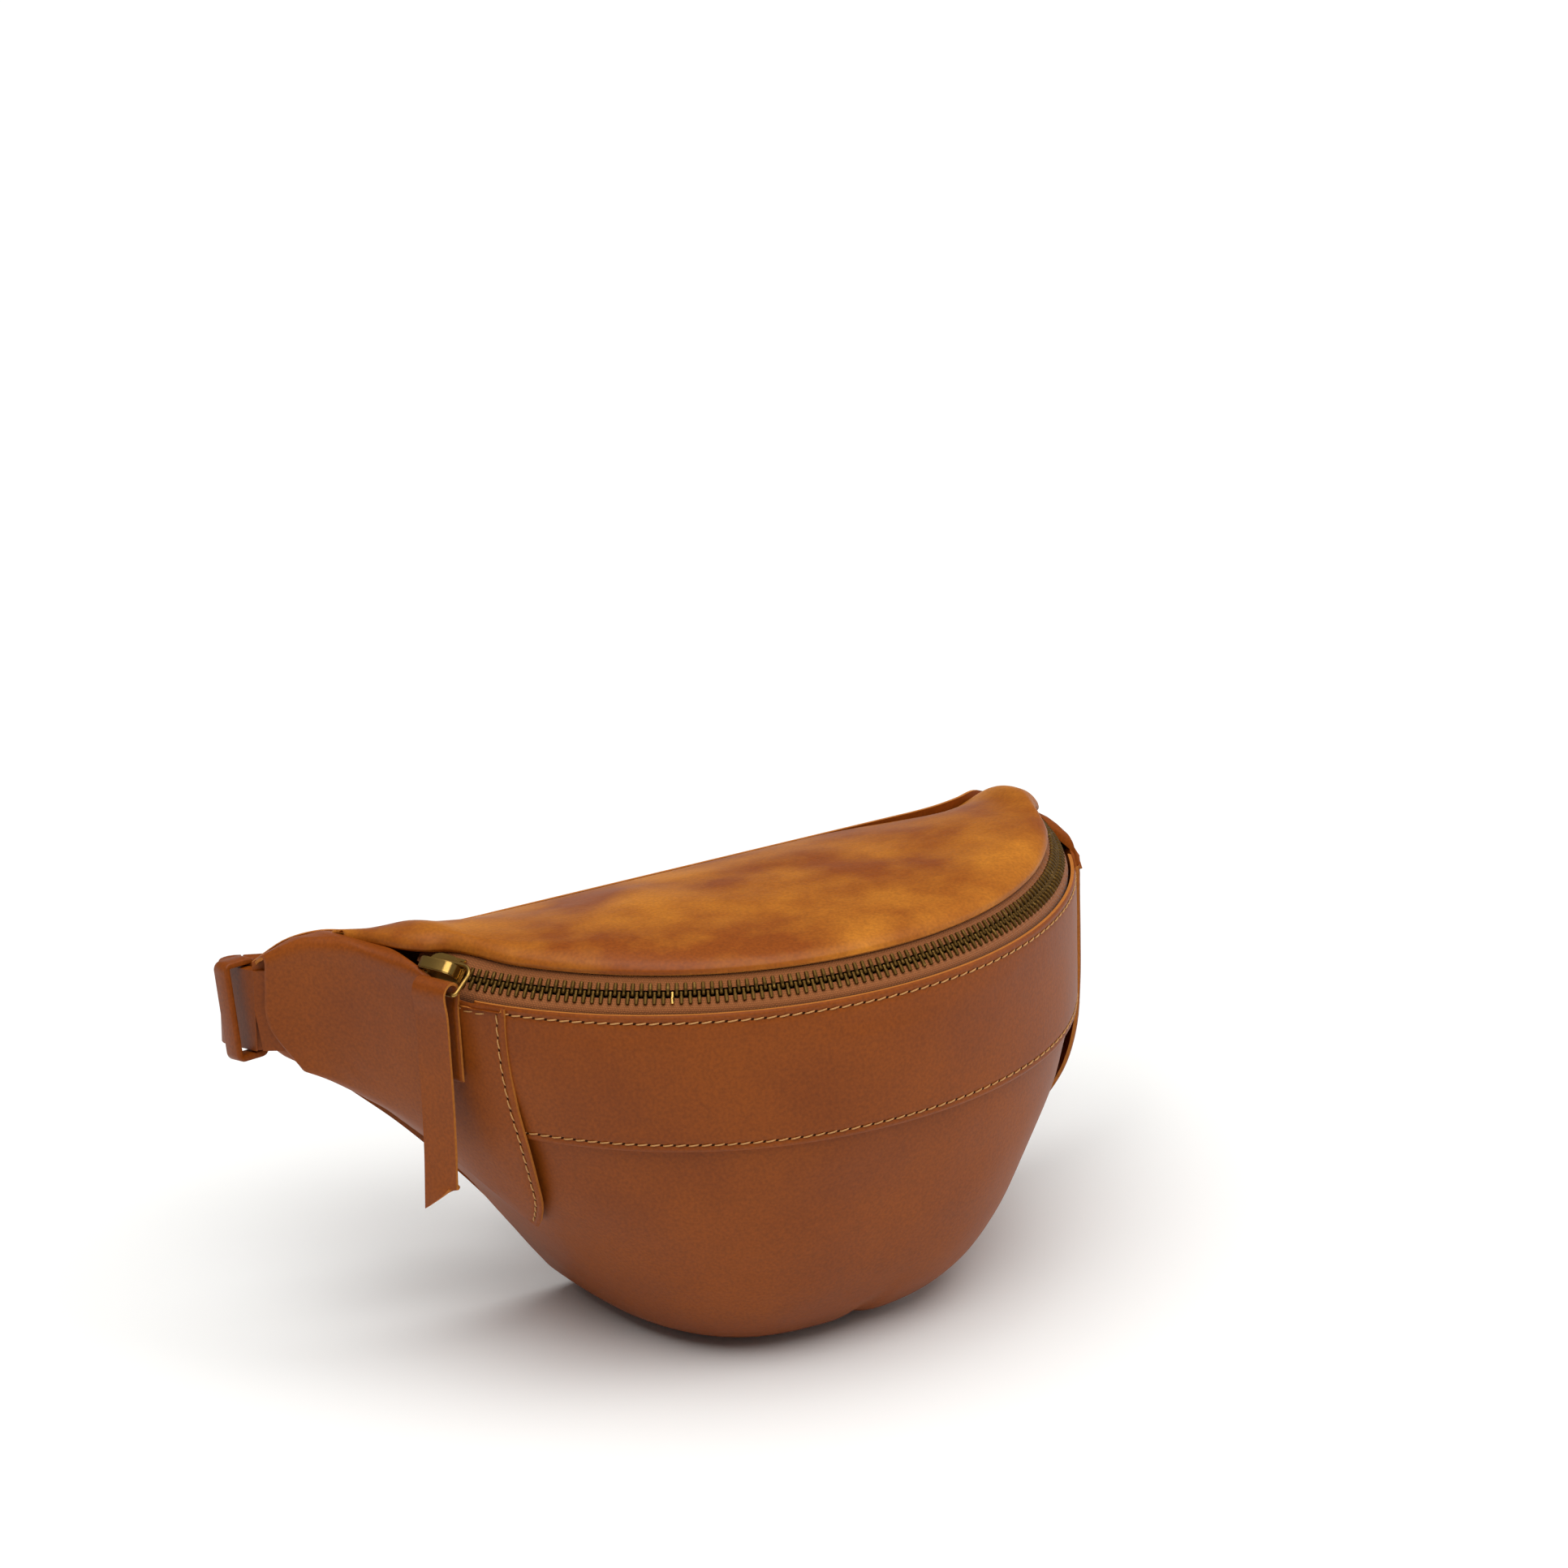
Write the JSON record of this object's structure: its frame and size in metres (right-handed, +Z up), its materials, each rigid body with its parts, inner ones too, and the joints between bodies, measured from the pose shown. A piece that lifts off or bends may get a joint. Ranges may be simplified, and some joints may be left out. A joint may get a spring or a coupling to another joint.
{
  "type": "waist pack",
  "caption": "Leather waist pack with a curved metal zip, folded side wings, leather pull and a two-part buckled waist strap stored behind it.",
  "frame": {"origin": "middle of the face that the pack rests on", "axes": "X to the pack's right seen from the front, the front faces -Y, +Z up"},
  "size_m": [0.2787, 0.1638, 0.1343],
  "materials": {
    "leather": "smooth vegetable-tanned full-grain leather, low sheen",
    "leather_top": "the same leather, softer and padded",
    "strap_leather": "two layers sewn together with raw, burnished edges",
    "lining_cloth": "plain woven cotton lining",
    "zip_tape": "herringbone woven zip tape",
    "antique_brass": "antique brass, dark in the recesses and worn bright on the edges"
  },
  "bodies": {
    "pack": {"front_panel": "leather", "front_band": "leather", "back_panel": "leather", "left_wing": "leather", "right_wing": "leather", "top_panel": "leather_top", "lining": "lining_cloth", "lining_back": "lining_cloth", "upper_tape": "zip_tape", "lower_tape": "zip_tape", "upper_teeth": "antique_brass", "lower_teeth": "antique_brass", "zip_stops": "antique_brass", "left_tab": "strap_leather", "right_tab": "strap_leather", "left_bend": "strap_leather", "right_bend": "strap_leather"},
    "slider_body": {"slider": "antique_brass"},
    "ring_body": {"pull_ring": "antique_brass"},
    "pull_body": {"leather_pull": "strap_leather"},
    "stub_keeper": {"left_keeper": "strap_leather"},
    "buckle_strap": {"left_strap": "strap_leather", "buckle_keeper": "strap_leather"},
    "frame_body": {"buckle_frame": "antique_brass"},
    "prong_body": {"buckle_prong": "antique_brass"},
    "long_strap": {"right_strap": "strap_leather", "right_fold": "strap_leather"},
    "tail_body": {"right_tail": "strap_leather"}
  },
  "joints": [
    {"name": "zip_travel", "type": "hinge", "parent": "pack", "child": "slider_body", "pos_m": [0, 0.045, 0.118], "axis": [0, 0.0698, 0.9976], "range_deg": [0, 137]},
    {"name": "ring_flip", "type": "hinge", "parent": "slider_body", "child": "ring_body", "pos_m": [-0.10528, 0.00925, 0.12346], "axis": [-0.7845, -0.3337, -0.5226], "range_deg": [0, 110]},
    {"name": "pull_flap", "type": "hinge", "parent": "ring_body", "child": "pull_body", "pos_m": [-0.10877, 0.00018, 0.11995], "axis": [-0.3535, 0.9332, -0.0652], "range_deg": [0, 110]},
    {"name": "keeper_slide", "type": "slide", "parent": "pack", "child": "stub_keeper", "axis": [-0.0977, 0.9717, -0.2149], "range_m": [0, 0.003]},
    {"name": "buckle_strap_swing", "type": "hinge", "parent": "pack", "child": "buckle_strap", "pos_m": [-0.12734, 0.07711, 0.09354], "axis": [0, 0, 1], "range_deg": [0, 105], "deforming": ["left_bend"]},
    {"name": "buckle_turn", "type": "hinge", "parent": "buckle_strap", "child": "frame_body", "pos_m": [-0.02547, 0.06765, 0.0801], "axis": [-0.098, 0.0169, -0.995], "range_deg": [-25, 25]},
    {"name": "prong_turn", "type": "hinge", "parent": "frame_body", "child": "prong_body", "pos_m": [-0.02547, 0.06765, 0.0801], "axis": [0.098, -0.0169, 0.995], "range_deg": [0, 100]},
    {"name": "long_strap_swing", "type": "hinge", "parent": "pack", "child": "long_strap", "pos_m": [0.12734, 0.07711, 0.07054], "axis": [0, 0, -1], "range_deg": [0, 102], "deforming": ["right_bend"]},
    {"name": "tail_unfold", "type": "hinge", "parent": "long_strap", "child": "tail_body", "pos_m": [-0.03478, 0.07005, 0.03503], "axis": [-0.1947, -0.0236, 0.9806], "range_deg": [0, 165], "deforming": ["right_fold"]}
  ]
}
